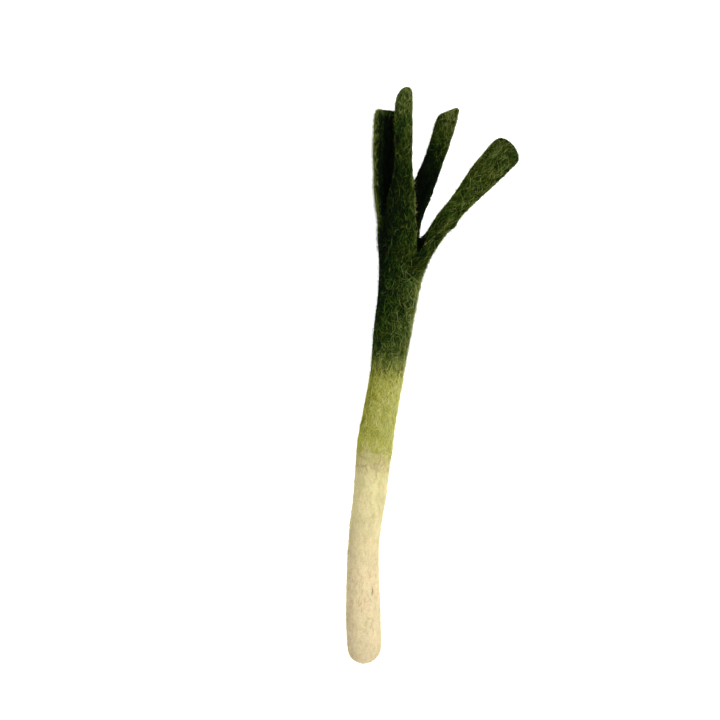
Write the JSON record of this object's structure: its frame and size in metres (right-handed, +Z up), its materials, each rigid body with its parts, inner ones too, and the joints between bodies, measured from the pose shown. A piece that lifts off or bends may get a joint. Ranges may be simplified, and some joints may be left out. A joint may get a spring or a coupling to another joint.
{
  "type": "felt spring onion",
  "caption": "Felted-wool spring onion for play or display, lying down: cream shank, lime band and a dark green tube cut into leaves.",
  "frame": {"origin": "middle of the underside of the onion's bounding box, on the surface it lies on", "axes": "+Y along the stalk from the root end to the leaf tips, +X to the side that the widest leaf leans to, +Z up"},
  "size_m": [0.0758, 0.2496, 0.018],
  "materials": {
    "cream_wool": "matte wet-felted wool with a short soft nap",
    "lime_wool": "matte wet-felted wool with loose lighter strands",
    "dark_green_wool": "matte wet-felted wool, near-black green with lighter olive strands"
  },
  "bodies": {
    "root": {"cream_shank": "cream_wool", "lime_band": "lime_wool", "green_leaves": "dark_green_wool"}
  },
  "joints": []
}
